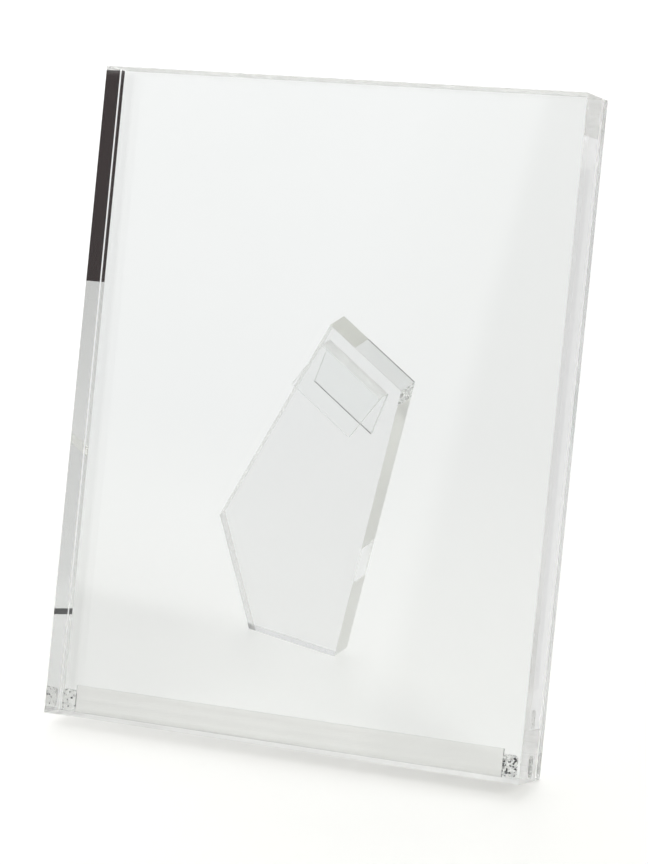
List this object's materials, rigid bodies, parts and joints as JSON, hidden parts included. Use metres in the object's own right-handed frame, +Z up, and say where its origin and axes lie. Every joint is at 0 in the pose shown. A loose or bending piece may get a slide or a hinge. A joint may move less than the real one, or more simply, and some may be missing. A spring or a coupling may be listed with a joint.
{
  "type": "block picture frame",
  "caption": "Clear acrylic block picture frame: thick front block, thin back panel with a picture slot between, a strip and two bond pads in the slot, and a diagonal leg plate on a bent bracket.",
  "frame": {"origin": "middle of the back panel's lower back edge, on the surface that the frame stands on", "axes": "+X right as seen from the front, +Y to the back, +Z up; the frame leans back 14 degrees from +Z"},
  "size_m": [0.2032, 0.1583, 0.26],
  "materials": {
    "clear_block": "clear cast acrylic, polished all over",
    "clear_panel": "clear cast acrylic sheet, polished all over",
    "clear_leg": "clear acrylic plate, polished faces, finely cut edges",
    "clear_bracket": "thin clear acrylic, bent warm and solvent bonded",
    "clear_strip": "thin clear acrylic strip, faintly grey",
    "bond_pad": "clear adhesive with small bubbles"
  },
  "bodies": {
    "root": {"front_block": "clear_block", "back_panel": "clear_panel", "slot_strip": "clear_strip", "corner_pad_left": "bond_pad", "corner_pad_right": "bond_pad", "leg_bracket": "clear_bracket", "leg_plate": "clear_leg"}
  },
  "joints": []
}
